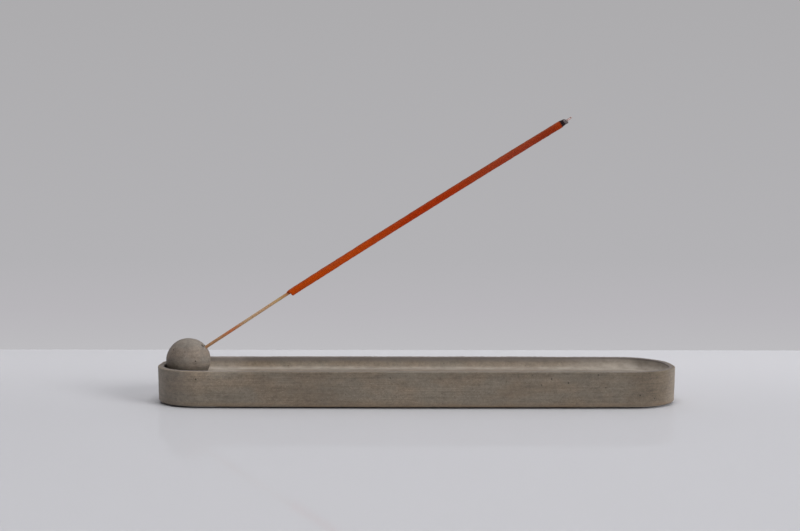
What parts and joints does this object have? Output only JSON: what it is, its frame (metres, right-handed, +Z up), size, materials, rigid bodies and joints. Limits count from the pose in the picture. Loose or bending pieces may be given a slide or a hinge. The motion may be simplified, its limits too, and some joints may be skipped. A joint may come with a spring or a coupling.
{
  "type": "incense burner",
  "caption": "Long concrete tray with a shallow ash trough, a loose bored ball that holds an incense stick, and the stick leaning over the trough.",
  "frame": {"origin": "middle of the burner's footprint, on the surface that the four pads stand on", "axes": "+X along the tray, from the ball's end towards the end that the stick points at; +Y across the tray, to the back; +Z up"},
  "size_m": [0.27, 0.057, 0.1485],
  "materials": {
    "tray_concrete": "matte, fine-grained cast concrete with small air holes",
    "ball_concrete": "matte, fine-grained cast concrete with small air holes",
    "cork": "matte granulated cork",
    "bamboo": "raw split bamboo, stained near the coating",
    "incense_paste": "dry, powdery rolled paste",
    "charred_paste": "matte black char",
    "ash": "loose grey ash",
    "ember": "pale ash over a faint glow"
  },
  "bodies": {
    "tray": {"tray": "tray_concrete", "foot_pad_1": "cork", "foot_pad_2": "cork", "foot_pad_3": "cork", "foot_pad_4": "cork"},
    "ball": {"ball": "ball_concrete"},
    "incense_stick": {"bamboo_core": "bamboo", "incense_coat": "incense_paste", "char_ring": "charred_paste", "ash_tip": "ash", "ember_tip": "ember"}
  },
  "joints": [
    {"name": "ball_slide", "type": "slide", "parent": "tray", "child": "ball", "axis": [1, 0, 0], "range_m": [0, 0.2402]},
    {"name": "stick_pull", "type": "slide", "parent": "ball", "child": "incense_stick", "axis": [0.8378, 0, 0.546], "range_m": [0, 0.03]}
  ]
}
